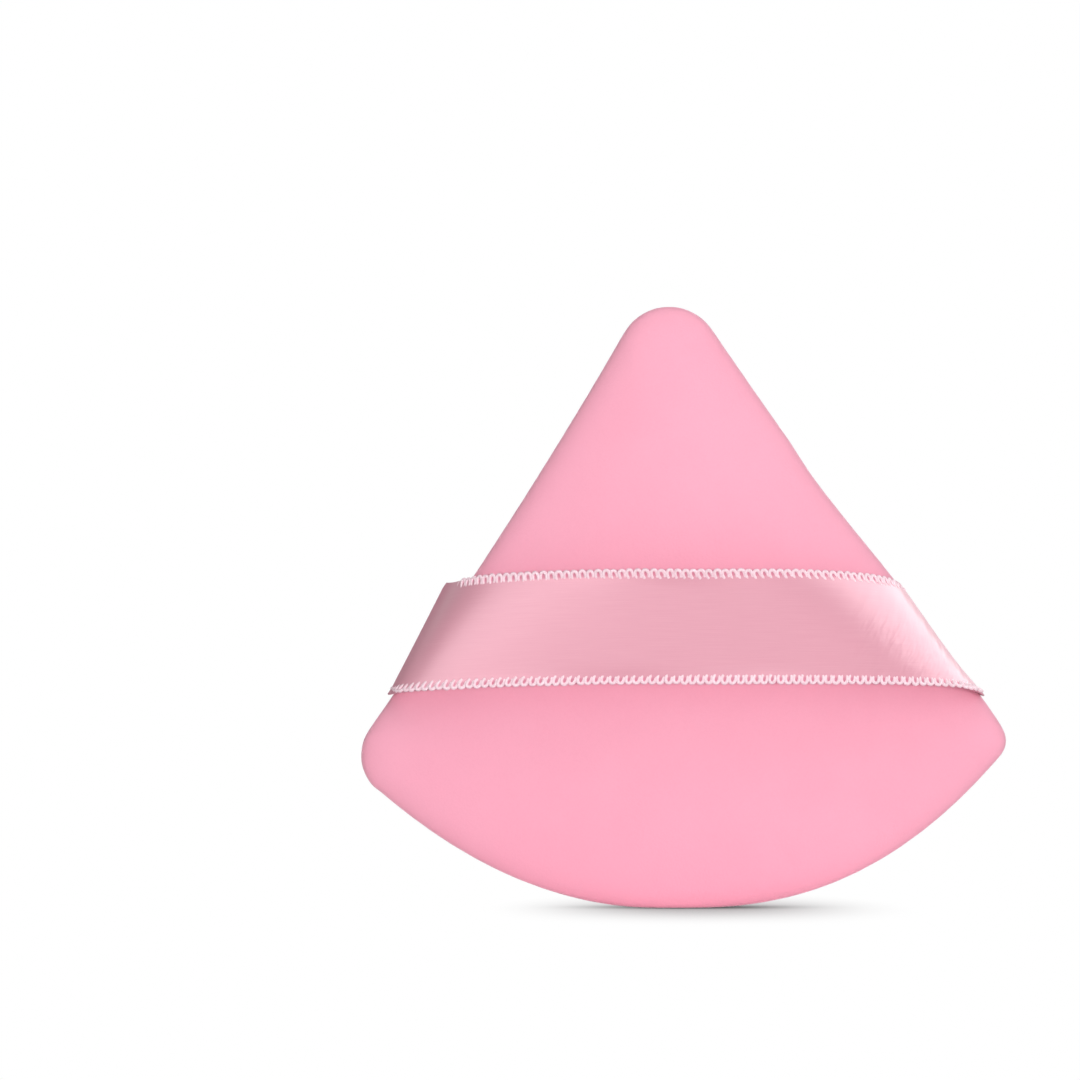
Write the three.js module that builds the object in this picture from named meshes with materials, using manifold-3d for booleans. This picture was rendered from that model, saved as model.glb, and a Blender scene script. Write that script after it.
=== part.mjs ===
// Fan-shaped powder puff: two velour covers sewn round a foam core, with a ribbon hand strap.
// Millimetres, +Z up. The puff stands on its curved base, and the strap faces -Y.
import * as THREE from 'three';
import { mergeVertices } from 'three/addons/utils/BufferGeometryUtils.js';
import Module from 'manifold-3d';

// Outline, seen from the strap side: where the sharp corners would meet before they are rounded
const APEX_X = -1.9;
const APEX_HEIGHT = 70.1;
const RIGHT_REACH = 35.65;
const RIGHT_HEIGHT = 18.0;
const LEFT_REACH = 36.6;
const LEFT_HEIGHT = 16.0;
const APEX_RADIUS = 5.6;
const RIGHT_RADIUS = 2.2;
const LEFT_RADIUS = 5.3;
const RIGHT_HOLLOW = 0.45; // how far the side is drawn in at its middle
const LEFT_HOLLOW = 0.8;
const BASE_X = 1.2; // lowest point of the base
const BASE_BEND = 2.2; // power of the base curve: 2 is a parabola, more is flatter in the middle
const BASE_FLAT_DEPTH = 0.5; // how far the standing edge is pressed flat

// Pad
const PAD_THICKNESS = 13;
const DOME_FULLNESS = 3; // power of the crown: higher is flatter on top with rounder edges
const CROWN_ROUNDING = 0.6; // how much the corners melt away towards the crown: 0 keeps ridges
const COVER_WALL = 1.0; // velour with its pile
const COVER_TO_CORE = 0.3;

// Seam: the covers are sewn face to face and turned, so the raw edges lie inside
const SEAM_PULL = 0.9; // how far the seam sinks below the rounded edge
const EDGE_ROLL = 1.2; // height of that rounded edge on each cover
const SEAM_GAP = 0.3;
const SEAM_ALLOWANCE = 3.5;
const SEAM_THREAD = 0.3;
const SEAM_STITCH = 3.4;
const STITCH_BITE = 1.8; // how far the overcast thread reaches over the raw edges
const THREAD_CLEARANCE = 0.25;
const TURNING_GAP = 30; // stretch of the base left open for turning, then closed by hand
const CLOSING_THREAD = 0.3;
const CLOSING_STITCH = 3;
const CLOSING_BITE = 0.35; // reach of a closing stitch on each cover
const STITCH_END = 1.5; // first and last stitch to the end of its stretch

// Ribbon
const RIBBON_WIDTH = 10.7; // between the roots of the picot loops
const RIBBON_THICKNESS = 0.4;
const RIBBON_HEIGHT = 30.7; // middle of the strap above the floor
const FINGER_GAP = 5.0; // strap above the crown of the pad
const STRAP_FULLNESS = 2.8; // power of the arch: higher is flatter across, with tighter shoulders
const END_DROP = 1.4; // how far the ribbon sinks where it turns into the slanted seams
const STANDOFF_LEFT_LOW = 0.6; // from the edge of the pad, measured level
const STANDOFF_LEFT_HIGH = 2.1;
const STANDOFF_RIGHT = 0.7;
const LEAN_LEFT_LOW = 0.3; // how far the ribbon leans in over the pad as it rises from the left seam
const LEAN_LEFT_HIGH = 2.6;
const LEAN_END = 0.2; // share of the half span past the middle where that lean has died away
const RIBBON_CLEARANCE = 0.3;
const TAIL_DEPTH = 3.8; // ribbon sewn into the seam, measured level
const TAIL_LIP = 0.5; // tail past the middle of the strap's foot
const PICOT_HEIGHT = 0.85;
const PICOT_ROOT = 0.3; // strip that joins the loops at their roots
const PICOT_PITCH = 1.0;
const PICOT_THICKNESS = 0.25;
const PICOT_GAP = 0.2;

// Facets
const BASE_STEPS = 14;
const SIDE_STEPS = 9;
const CORNER_STEPS = 6;
const DOME_STEPS = 8;
const CORE_STEPS = 5;
const STRAP_STEPS = 36;
const STRAP_ROWS = 3;
const TAIL_ROWS = 4;
const THREAD_SIDES = 4;
const PICOT_WAVE = [0, 1, 1]; // height of one loop at its steps, from root to top

const MERGE = 1e-4;
const NUDGE = 1e-3;

const apex = new THREE.Vector2(APEX_X, APEX_HEIGHT);
const rightCorner = new THREE.Vector2(RIGHT_REACH, RIGHT_HEIGHT);
const leftCorner = new THREE.Vector2(-LEFT_REACH, LEFT_HEIGHT);
const baseHeight = -BASE_FLAT_DEPTH;
const halfThickness = PAD_THICKNESS / 2;
const halfGap = SEAM_GAP / 2;
const tailGap = RIBBON_THICKNESS / 2 + RIBBON_CLEARANCE;
const strapTop = halfThickness + FINGER_GAP + RIBBON_THICKNESS / 2;
const ribbonLow = RIBBON_HEIGHT - RIBBON_WIDTH / 2;

// Middle of the circle that touches both sides and the floor: every inner outline shrinks towards it
const { middle, inradius } = findMiddle();
const outline = makeOutline();
const rim = new THREE.Shape(outline);
rim.closePath();
const rimLength = rim.getLength();

function findMiddle() {
  const alongFloor = (corner) => {
    const run = (baseHeight - apex.y) / (corner.y - apex.y);
    return apex.clone().lerp(corner, run);
  };
  const right = alongFloor(rightCorner);
  const left = alongFloor(leftCorner);
  const floorSide = right.distanceTo(left);
  const rightSide = right.distanceTo(apex);
  const leftSide = left.distanceTo(apex);
  const round = floorSide + rightSide + leftSide;
  const centre = apex.clone().multiplyScalar(floorSide / round);
  centre.addScaledVector(right, leftSide / round).addScaledVector(left, rightSide / round);
  return { middle: centre, inradius: centre.y - baseHeight };
}

// Base of the outline: a curve that is flat in the middle and rises to each corner
function basePoint(x) {
  const corner = x < BASE_X ? leftCorner : rightCorner;
  const share = (x - BASE_X) / (corner.x - BASE_X);
  return new THREE.Vector2(x, baseHeight + (corner.y - baseHeight) * share ** BASE_BEND);
}

// Direction of the base at a corner, pointing back along it
function baseDirection(corner) {
  const run = BASE_X - corner.x;
  const drop = baseHeight - corner.y;
  return new THREE.Vector2(run, BASE_BEND * drop).normalize();
}

// Control point that draws a side in at its middle
function sideControl(from, to, hollow) {
  const along = to.clone().sub(from).normalize();
  const inward = new THREE.Vector2(-along.y, along.x);
  return from.clone().lerp(to, 0.5).addScaledVector(inward, 2 * hollow);
}

// Arc that rounds a corner between the two directions that leave it
function roundCorner(corner, back, onward, radius) {
  const half = back.angleTo(onward) / 2;
  const setback = radius / Math.tan(half);
  const start = corner.clone().addScaledVector(back, setback);
  const end = corner.clone().addScaledVector(onward, setback);
  const centre = back.clone().add(onward).normalize().multiplyScalar(radius / Math.sin(half)).add(corner);
  const angleOf = (point) => Math.atan2(point.y - centre.y, point.x - centre.x);
  const arc = new THREE.EllipseCurve(centre.x, centre.y, radius, radius, angleOf(start), angleOf(end));
  return { start, end, points: arc.getPoints(CORNER_STEPS) };
}

function makeOutline() {
  const rightControl = sideControl(rightCorner, apex, RIGHT_HOLLOW);
  const leftControl = sideControl(apex, leftCorner, LEFT_HOLLOW);
  const towards = (from, to) => to.clone().sub(from).normalize();
  const upRight = towards(rightCorner, rightControl);
  const upLeft = towards(leftCorner, leftControl);
  const right = roundCorner(rightCorner, baseDirection(rightCorner), upRight, RIGHT_RADIUS);
  const top = roundCorner(apex, towards(apex, rightControl), towards(apex, leftControl), APEX_RADIUS);
  const left = roundCorner(leftCorner, upLeft, baseDirection(leftCorner), LEFT_RADIUS);
  const side = (from, control, to) => {
    return new THREE.QuadraticBezierCurve(from, control, to).getPoints(SIDE_STEPS);
  };
  const inner = (points) => points.slice(1, -1);
  const base = [];
  for (let i = 1; i < BASE_STEPS; i += 1) {
    base.push(basePoint(THREE.MathUtils.lerp(left.end.x, right.start.x, i / BASE_STEPS)));
  }
  return [
    ...right.points,
    ...inner(side(right.end, rightControl, top.start)),
    ...top.points,
    ...inner(side(top.end, leftControl, left.start)),
    ...left.points,
    ...base,
  ];
}

// A point of the outline, moved in towards the middle by a distance measured square to the sides
function inset(point, distance) {
  return middle.clone().lerp(point, 1 - distance / inradius);
}

// How far the rolled edge has sunk at a height from the seam
function rollInset(height) {
  return SEAM_PULL * (1 - height / EDGE_ROLL) ** 2;
}

// A ring of a form: the outline shrunk towards the middle, and rounder the further in it lies
function ringPlace(point, rimInset, share) {
  const arm = inset(point, rimInset).sub(middle);
  const rounding = CROWN_ROUNDING * (1 - share) * (1 - inradius / Math.max(arm.length(), inradius));
  return arm.multiplyScalar(share * (1 - rounding)).add(middle);
}

// Level reach of the outline at a height: side is 1 on the right and -1 on the left
function rimX(height, side) {
  let reach = -Infinity;
  outline.forEach((from, i) => {
    const to = outline[(i + 1) % outline.length];
    if ((from.y - height) * (to.y - height) <= 0 && from.y !== to.y) {
      const x = THREE.MathUtils.mapLinear(height, from.y, to.y, from.x, to.x);
      reach = Math.max(reach, x * side);
    }
  });
  return reach * side;
}

// Half the seam's gap: wider where the ribbon's tails pass between the covers
function seamHalfGap(height) {
  const reach = RIBBON_WIDTH / 2 + END_DROP + TAIL_DEPTH;
  const away = Math.abs(height - RIBBON_HEIGHT) - reach;
  return THREE.MathUtils.lerp(tailGap, halfGap, THREE.MathUtils.smoothstep(away, 0, TAIL_DEPTH));
}

// Rings of a crowned form, from its rim to its crown, as [inset, share of the outline, height]
function dome(rimInset, foot, crown, steps) {
  const rings = [];
  for (let i = 0; i <= steps; i += 1) {
    const angle = (i / steps) * (Math.PI / 2);
    const share = i === steps ? 0 : Math.cos(angle) ** (2 / DOME_FULLNESS);
    rings.push([rimInset, share, foot + (crown - foot) * Math.sin(angle)]);
  }
  return rings;
}

function geometryOf(positions, triangles) {
  const geometry = new THREE.BufferGeometry();
  geometry.setAttribute('position', new THREE.Float32BufferAttribute(positions, 3));
  geometry.setIndex(triangles);
  return mergeVertices(geometry, MERGE);
}

// Carries a ring profile round the outline: the profile begins and ends on the middle axis
function loft(profileAt, facing) {
  const columns = outline.map((point) => profileAt(point.y));
  const rings = columns[0].length;
  const positions = [];
  columns.forEach((column, i) => {
    column.forEach(([rimInset, share, height]) => {
      const place = ringPlace(outline[i], rimInset, share);
      positions.push(place.x, -facing * height, place.y);
    });
  });
  const triangles = [];
  const addTriangle = (a, b, c) => triangles.push(...(facing > 0 ? [a, b, c] : [a, c, b]));
  for (let i = 0; i < columns.length; i += 1) {
    const here = i * rings;
    const next = ((i + 1) % columns.length) * rings;
    for (let j = 0; j + 1 < rings; j += 1) {
      if (columns[i][j + 1][1] > 0) addTriangle(here + j, here + j + 1, next + j + 1);
      if (columns[i][j][1] > 0) addTriangle(here + j, next + j + 1, next + j);
    }
  }
  return geometryOf(positions, triangles);
}

// One cover: crown, rolled edge, seam, turned-in allowance and lining side
function coverProfile(height) {
  const gap = seamHalfGap(height);
  const roll = (EDGE_ROLL + gap) / 2;
  const raw = SEAM_PULL + SEAM_ALLOWANCE;
  return [
    ...dome(0, EDGE_ROLL, halfThickness, DOME_STEPS).reverse(),
    [rollInset(roll), 1, roll],
    [rollInset(gap), 1, gap],
    [raw, 1, gap],
    [raw, 1, gap + COVER_WALL],
    ...dome(COVER_WALL, gap + COVER_WALL, halfThickness - COVER_WALL, DOME_STEPS),
  ];
}

// Foam core: two crowns with a groove between them for the raw edges and their thread
function coreProfile() {
  const aroundThread = SEAM_THREAD + 2 * THREAD_CLEARANCE;
  const grooveHalf = tailGap + COVER_WALL + aroundThread;
  const grooveInset = SEAM_PULL + SEAM_ALLOWANCE + aroundThread;
  const rimInset = COVER_WALL + COVER_TO_CORE;
  const foot = halfGap + COVER_WALL;
  const crown = halfThickness - rimInset;
  const grooveShare = (1 - ((grooveHalf - foot) / (crown - foot)) ** 2) ** (1 / DOME_FULLNESS);
  const crownRings = dome(rimInset, foot, crown, CORE_STEPS).filter((ring) => ring[2] > grooveHalf);
  const cap = [[rimInset, grooveShare, grooveHalf], ...crownRings];
  const lower = cap.map(([edge, share, height]) => [edge, share, -height]);
  const groove = [[grooveInset, 1, grooveHalf], [grooveInset, 1, -grooveHalf]];
  return [...cap.reverse(), ...groove, ...lower];
}

const wasm = await Module();
wasm.setup();

function toManifold(geometry) {
  const vertProperties = new Float32Array(geometry.attributes.position.array);
  const triVerts = new Uint32Array(geometry.index.array);
  return new wasm.Manifold(new wasm.Mesh({ numProp: 3, vertProperties, triVerts }));
}

function fromManifold(manifold) {
  const mesh = manifold.getMesh();
  return geometryOf(mesh.vertProperties, Array.from(mesh.triVerts));
}

// Presses the standing edge flat at the floor
function cutAtFloor(geometry) {
  const block = new THREE.BoxGeometry(2 * (LEFT_REACH + RIGHT_REACH), 2 * PAD_THICKNESS, PAD_THICKNESS);
  block.translate(0, 0, -PAD_THICKNESS / 2);
  block.deleteAttribute('normal');
  block.deleteAttribute('uv');
  return fromManifold(toManifold(geometry).subtract(toManifold(mergeVertices(block, MERGE))));
}

// Distance of the ribbon from the edge of the pad where it leaves the seam
function standoff(across, side) {
  if (side > 0) return STANDOFF_RIGHT;
  return THREE.MathUtils.lerp(STANDOFF_LEFT_LOW, STANDOFF_LEFT_HIGH, THREE.MathUtils.clamp(across, 0, 1));
}

// How far a point of the ribbon leans in from the left: reach is 1 at the left foot and -1 at the right one
function leanIn(across, reach, rise) {
  const lean = THREE.MathUtils.lerp(LEAN_LEFT_LOW, LEAN_LEFT_HIGH, THREE.MathUtils.clamp(across, 0, 1));
  return lean * rise * THREE.MathUtils.smoothstep(reach, -LEAN_END, 1 - LEAN_END);
}

// The ribbon's middle surface: along runs from its left foot to its right one, across from edge to edge
function ribbonPoint(along, across) {
  const angle = Math.PI * along;
  const rise = Math.sin(angle) ** (2 / STRAP_FULLNESS);
  const reach = Math.sign(Math.cos(angle)) * Math.abs(Math.cos(angle)) ** (2 / STRAP_FULLNESS);
  const height = ribbonLow + across * RIBBON_WIDTH;
  const footHeight = height - END_DROP;
  const left = rimX(footHeight, -1) - standoff(across, -1);
  const right = rimX(footHeight, 1) + standoff(across, 1);
  const x = (left + right) / 2 - (reach * (right - left)) / 2 + leanIn(across, reach, rise);
  const y = -THREE.MathUtils.lerp(tailGap, strapTop, rise);
  return new THREE.Vector3(x, y, THREE.MathUtils.lerp(footHeight, height, rise));
}

function ribbonNormal(along, across) {
  const before = ribbonPoint(Math.max(along - NUDGE, 0), across);
  const after = ribbonPoint(Math.min(along + NUDGE, 1), across);
  const lower = ribbonPoint(along, across - NUDGE);
  const upper = ribbonPoint(along, across + NUDGE);
  return after.sub(before).cross(upper.sub(lower)).normalize();
}

class RibbonLine extends THREE.Curve {
  constructor(across) {
    super();
    this.across = across;
  }

  getPoint(along) {
    return ribbonPoint(Math.min(Math.max(along, 0), 1), this.across);
  }
}

// Closed slab on the ribbon's surface: grid[i][j] holds the places [along, across] of its points
function slab(grid, thickness) {
  const columns = grid.length;
  const rows = grid[0].length;
  const positions = [];
  for (const face of [1, -1]) {
    for (const [along, across] of grid.flat()) {
      const shift = ribbonNormal(along, across).multiplyScalar((face * thickness) / 2);
      positions.push(...ribbonPoint(along, across).add(shift).toArray());
    }
  }
  const outer = (i, j) => i * rows + j;
  const inner = (i, j) => columns * rows + outer(i, j);
  const triangles = [];
  const addQuad = (a, b, c, d) => triangles.push(a, b, c, a, c, d);
  const lastColumn = columns - 1;
  const lastRow = rows - 1;
  for (let i = 0; i < lastColumn; i += 1) {
    for (let j = 0; j < lastRow; j += 1) {
      addQuad(outer(i, j), outer(i + 1, j), outer(i + 1, j + 1), outer(i, j + 1));
      addQuad(inner(i, j), inner(i, j + 1), inner(i + 1, j + 1), inner(i + 1, j));
    }
    addQuad(outer(i + 1, 0), outer(i, 0), inner(i, 0), inner(i + 1, 0));
    addQuad(outer(i, lastRow), outer(i + 1, lastRow), inner(i + 1, lastRow), inner(i, lastRow));
  }
  for (let j = 0; j < lastRow; j += 1) {
    addQuad(outer(0, j), outer(0, j + 1), inner(0, j + 1), inner(0, j));
    addQuad(outer(lastColumn, j + 1), outer(lastColumn, j), inner(lastColumn, j), inner(lastColumn, j + 1));
  }
  return geometryOf(positions, triangles);
}

function makeStrap() {
  const line = new RibbonLine(0.5);
  const grid = [];
  for (let i = 0; i <= STRAP_STEPS; i += 1) {
    const along = line.getUtoTmapping(i / STRAP_STEPS);
    grid.push(Array.from({ length: STRAP_ROWS + 1 }, (_, j) => [along, j / STRAP_ROWS]));
  }
  return slab(grid, RIBBON_THICKNESS);
}

// Row of picot loops along one edge of the ribbon: side is 1 at the upper edge and -1 at the lower
function makePicots(side) {
  const edge = side > 0 ? 1 : 0;
  const outwards = (distance) => edge + (side * distance) / RIBBON_WIDTH;
  const line = new RibbonLine(edge);
  const loops = Math.round(line.getLength() / PICOT_PITCH);
  const steps = loops * PICOT_WAVE.length;
  const grid = [];
  for (let i = 0; i <= steps; i += 1) {
    const along = line.getUtoTmapping(i / steps);
    const wave = PICOT_WAVE[i % PICOT_WAVE.length];
    const tip = PICOT_GAP + THREE.MathUtils.lerp(PICOT_ROOT, PICOT_HEIGHT, wave);
    const places = [[along, outwards(PICOT_GAP)], [along, outwards(tip)]];
    grid.push(side > 0 ? places : places.reverse());
  }
  return slab(grid, PICOT_THICKNESS);
}

// End of the ribbon, flat between the two seam allowances, with a lip under the strap's foot
function makeTail(side) {
  const inside = [];
  const outside = [];
  for (let row = 0; row <= TAIL_ROWS; row += 1) {
    const across = row / TAIL_ROWS;
    const height = ribbonLow + across * RIBBON_WIDTH - END_DROP;
    const edge = rimX(height, side);
    inside.push(new THREE.Vector2(edge - side * TAIL_DEPTH, height));
    outside.push(new THREE.Vector2(edge + side * (standoff(across, side) + TAIL_LIP), height));
  }
  const shape = new THREE.Shape([...inside, ...outside.reverse()]);
  const geometry = new THREE.ExtrudeGeometry(shape, { depth: RIBBON_THICKNESS, bevelEnabled: false });
  return geometry.translate(0, 0, -RIBBON_THICKNESS / 2).rotateX(Math.PI / 2);
}

// Closed tube of a few flat sides through a row of points, mitred where it turns
function makeThread(points, diameter) {
  const last = points.length - 1;
  const positions = [];
  const triangles = [];
  const heading = (i) => points[i + 1].clone().sub(points[i]).normalize();
  const turn = new THREE.Quaternion();
  const first = heading(0);
  const across = new THREE.Vector3(first.y, first.z, first.x);
  across.addScaledVector(first, -across.dot(first)).normalize();
  points.forEach((point, i) => {
    const arriving = heading(Math.max(i - 1, 0));
    const leaving = heading(Math.min(i, last - 1));
    const mitre = arriving.clone().add(leaving).normalize();
    const beside = arriving.clone().cross(across);
    for (let k = 0; k < THREAD_SIDES; k += 1) {
      const angle = (2 * Math.PI * k) / THREAD_SIDES;
      const spoke = across.clone().multiplyScalar(Math.cos(angle)).addScaledVector(beside, Math.sin(angle));
      spoke.addScaledVector(arriving, -spoke.dot(mitre) / arriving.dot(mitre));
      positions.push(...spoke.multiplyScalar(diameter / 2).add(point).toArray());
    }
    across.applyQuaternion(turn.setFromUnitVectors(arriving, leaving));
  });
  for (let i = 0; i < last; i += 1) {
    for (let k = 0; k < THREAD_SIDES; k += 1) {
      const here = i * THREAD_SIDES;
      const next = here + THREAD_SIDES;
      const beyond = (k + 1) % THREAD_SIDES;
      triangles.push(here + k, here + beyond, next + beyond, here + k, next + beyond, next + k);
    }
  }
  const end = last * THREAD_SIDES;
  for (let k = 1; k + 1 < THREAD_SIDES; k += 1) {
    triangles.push(0, k + 1, k, end, end + k, end + k + 1);
  }
  return geometryOf(positions, triangles);
}

// A place on the seam: distance along the rim, inset from it, and height to either side of it
function seamPlace(distance, depth, height) {
  const place = inset(rim.getPoint(distance / rimLength), depth);
  return new THREE.Vector3(place.x, height, place.y);
}

// Overcast thread, wound back and forth round the raw edges from one end of the turning gap to the other
function makeSeamThread() {
  const clear = THREAD_CLEARANCE + SEAM_THREAD / 2;
  const round = SEAM_PULL + SEAM_ALLOWANCE + clear;
  const stretch = rimLength - TURNING_GAP - 2 * STITCH_END;
  const stitches = Math.round(stretch / SEAM_STITCH);
  const points = [];
  for (let i = 0; i <= stitches; i += 1) {
    const distance = STITCH_END + (i / stitches) * stretch;
    const lift = seamHalfGap(rim.getPoint(distance / rimLength).y) + COVER_WALL + clear;
    const side = i % 2 === 0 ? 1 : -1;
    points.push(seamPlace(distance, round - STITCH_BITE, side * lift));
    points.push(seamPlace(distance, round, side * lift));
    points.push(seamPlace(distance, round, -side * lift));
    points.push(seamPlace(distance, round - STITCH_BITE, -side * lift));
  }
  return makeThread(points, SEAM_THREAD);
}

// Hand stitches that draw the turning gap shut from outside
function makeClosingThread() {
  const stretch = TURNING_GAP - 2 * STITCH_END;
  const stitches = Math.round(stretch / CLOSING_STITCH);
  const outside = rollInset(CLOSING_BITE) - THREAD_CLEARANCE - CLOSING_THREAD / 2;
  const points = [];
  for (let i = 0; i <= stitches; i += 1) {
    const distance = rimLength - TURNING_GAP + STITCH_END + (i / stitches) * stretch;
    const side = i % 2 === 0 ? 1 : -1;
    points.push(seamPlace(distance, outside, side * CLOSING_BITE));
    points.push(seamPlace(distance, outside, -side * CLOSING_BITE));
  }
  return makeThread(points, CLOSING_THREAD);
}

const puff = new THREE.Group();

function addPiece(name, geometry, look) {
  const piece = new THREE.Mesh(geometry, new THREE.MeshStandardMaterial({ metalness: 0, ...look }));
  piece.name = name;
  puff.add(piece);
}

const velour = { color: 0xfeb2c6, roughness: 0.95 };
const satin = { color: 0xf0b7c6, roughness: 0.4 };
const yarn = { color: 0xf7d3dc, roughness: 0.6 };
const thread = { color: 0xf4a9bd, roughness: 0.6 };
const foam = { color: 0xfbe9e6, roughness: 0.9 };

addPiece('rear_cover', cutAtFloor(loft(coverProfile, 1)), velour);
addPiece('front_cover', cutAtFloor(loft(coverProfile, -1)), velour);
addPiece('foam_core', loft(coreProfile, 1), foam);
addPiece('ribbon_strap', makeStrap(), satin);
addPiece('upper_picot_edge', makePicots(1), yarn);
addPiece('lower_picot_edge', makePicots(-1), yarn);
addPiece('ribbon_tail_left', makeTail(-1), satin);
addPiece('ribbon_tail_right', makeTail(1), satin);
addPiece('seam_thread', makeSeamThread(), thread);
addPiece('closing_thread', makeClosingThread(), thread);

// The origin is on the floor, midway between the strap and the skin side
puff.position.y = (FINGER_GAP + RIBBON_THICKNESS) / 2;

export default puff;
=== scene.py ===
import math

import bmesh
import bpy
import numpy as np
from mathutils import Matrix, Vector


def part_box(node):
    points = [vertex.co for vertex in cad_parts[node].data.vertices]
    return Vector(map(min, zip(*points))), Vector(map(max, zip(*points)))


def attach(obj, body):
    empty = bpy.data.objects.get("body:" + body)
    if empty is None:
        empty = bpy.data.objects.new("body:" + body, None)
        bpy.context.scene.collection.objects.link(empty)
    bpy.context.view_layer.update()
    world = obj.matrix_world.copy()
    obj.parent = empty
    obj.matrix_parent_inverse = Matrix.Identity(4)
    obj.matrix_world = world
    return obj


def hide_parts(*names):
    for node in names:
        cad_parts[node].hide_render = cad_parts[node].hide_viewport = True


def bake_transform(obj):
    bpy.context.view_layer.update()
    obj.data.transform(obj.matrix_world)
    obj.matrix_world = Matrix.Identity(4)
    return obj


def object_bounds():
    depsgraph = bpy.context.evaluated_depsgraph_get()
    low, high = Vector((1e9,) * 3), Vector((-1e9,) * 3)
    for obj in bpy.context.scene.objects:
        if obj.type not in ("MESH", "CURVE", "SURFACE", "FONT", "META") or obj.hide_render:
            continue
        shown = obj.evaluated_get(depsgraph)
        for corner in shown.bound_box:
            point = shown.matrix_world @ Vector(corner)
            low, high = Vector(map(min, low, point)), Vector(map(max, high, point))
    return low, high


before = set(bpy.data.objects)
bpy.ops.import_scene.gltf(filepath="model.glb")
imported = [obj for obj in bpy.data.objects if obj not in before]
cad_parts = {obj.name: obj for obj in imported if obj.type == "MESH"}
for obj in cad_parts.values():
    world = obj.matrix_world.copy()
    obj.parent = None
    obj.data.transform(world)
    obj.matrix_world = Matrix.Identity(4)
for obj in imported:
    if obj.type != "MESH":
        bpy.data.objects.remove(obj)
cadLow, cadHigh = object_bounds()
scene = bpy.context.scene
mm = 0.001  # sizes below are in millimetres, meshes in metres
seamY = (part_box("rear_cover")[1].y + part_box("front_cover")[0].y) / 2  # plane where the two covers meet
print("frame loaded:", len(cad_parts), "nodes, seam plane at", round(seamY, 5))


# Nodes: one class holds a tree, the other a socket that can be used in sums

class Wire:
    def __init__(self, graph, socket):
        self.graph = graph
        self.socket = socket

    def other(self, output):  # another output of the same node
        return Wire(self.graph, self.socket.node.outputs[output])

    def maths(self, operation, *terms):
        return self.graph.add("ShaderNodeMath", {"operation": operation}, dict(enumerate(terms)))

    def __add__(self, term):
        return self.maths("ADD", self, term)

    def __sub__(self, term):
        return self.maths("SUBTRACT", self, term)

    def __rsub__(self, term):
        return self.maths("SUBTRACT", term, self)

    def __mul__(self, term):
        return self.maths("MULTIPLY", self, term)

    __radd__ = __add__
    __rmul__ = __mul__


class Graph:
    def __init__(self, tree):
        self.tree = tree
        tree.nodes.clear()

    def add(self, kind, settings=None, inputs=None, output=0):
        node = self.tree.nodes.new(kind)
        for name, value in (settings or {}).items():
            setattr(node, name, value)
        for name, value in (inputs or {}).items():
            if isinstance(value, Wire):
                self.tree.links.new(value.socket, node.inputs[name])
            else:
                node.inputs[name].default_value = value
        return Wire(self, node.outputs[output]) if node.outputs else None

    def between(self, low, high, value):  # 0 below low, 1 above high, smooth between
        settings = {"interpolation_type": "SMOOTHSTEP"}
        return self.add("ShaderNodeMapRange", settings, {0: value, 1: low, 2: high})

    def mixColour(self, share, first, second):
        return self.add("ShaderNodeMix", {"data_type": "RGBA"}, {0: share, 6: first, 7: second}, 2)

    def coordinates(self, kind):
        return self.add("ShaderNodeTexCoord", {}, {}, kind)

    def scaled(self, vector, factors):
        return self.add("ShaderNodeVectorMath", {"operation": "MULTIPLY"}, {0: vector, 1: factors})

    def noise(self, place, size, detail):  # size in millimetres
        inputs = {"Vector": place, "Scale": 1 / (size * mm), "Detail": detail}
        return self.add("ShaderNodeTexNoise", {}, inputs)

    def bump(self, strength, depth, height):  # depth in millimetres
        inputs = {"Strength": strength, "Distance": depth * mm, "Height": height}
        return self.add("ShaderNodeBump", {}, inputs)

    def seenBy(self, *rays):  # 1 for the camera's own rays and for the rays named
        path = self.add("ShaderNodeLightPath")
        seen = path
        for ray in rays:
            seen = path.maths("MAXIMUM", seen, path.other(ray))
        return seen


def newMaterial(name):
    material = bpy.data.materials.new(name)
    material.use_nodes = True
    return material, Graph(material.node_tree)


def closeMaterial(graph, sockets):
    shader = graph.add("ShaderNodeBsdfPrincipled", {}, sockets)
    graph.add("ShaderNodeOutputMaterial", {}, {"Surface": shader})


def opaque(colour):
    return (*colour, 1.0)


def grey(level):
    return opaque((level, level, level))


# Materials

velourLook = {
    "pink": (0.955, 0.42, 0.545),
    "deepPink": (0.93, 0.39, 0.515),
    "mottle": 7.0,  # size of the soft cloudy change of tone
    "mottleDetail": 2.0,
    "mottleRange": (0.3, 0.7),  # noise levels where the tone deepens
    "pile": 0.22,  # size of the tufts of the pile
    "pileDetail": 3.0,
    "pileRange": (0.62, 0.3),
    "toneShare": 0.35,  # how far each goes towards the deep pink
    "pileDepth": 0.09,
    "pileBump": 0.25,
    "roughness": (0.92, 0.08),  # the least, and what the tufts add
    "shine": 0.15,
    "sheen": 0.5,
    "sheenRoughness": 0.4,
    "sheenTint": (1.0, 0.82, 0.88),
}


def makeVelour():
    look = velourLook
    material, graph = newMaterial("pink_velour")
    place = graph.coordinates("Object")
    clouds = graph.noise(place, look["mottle"], look["mottleDetail"])
    tufts = graph.noise(place, look["pile"], look["pileDetail"])
    tone = graph.between(*look["mottleRange"], clouds) + graph.between(*look["pileRange"], tufts)
    colour = graph.mixColour(tone * look["toneShare"], opaque(look["pink"]), opaque(look["deepPink"]))
    least, added = look["roughness"]
    closeMaterial(graph, {
        "Base Color": colour,
        "Normal": graph.bump(look["pileBump"], look["pileDepth"], tufts),
        "Roughness": least + tufts * added,
        "Specular IOR Level": look["shine"],
        "Sheen Weight": look["sheen"],
        "Sheen Roughness": look["sheenRoughness"],
        "Sheen Tint": opaque(look["sheenTint"]),
    })
    return material


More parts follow.
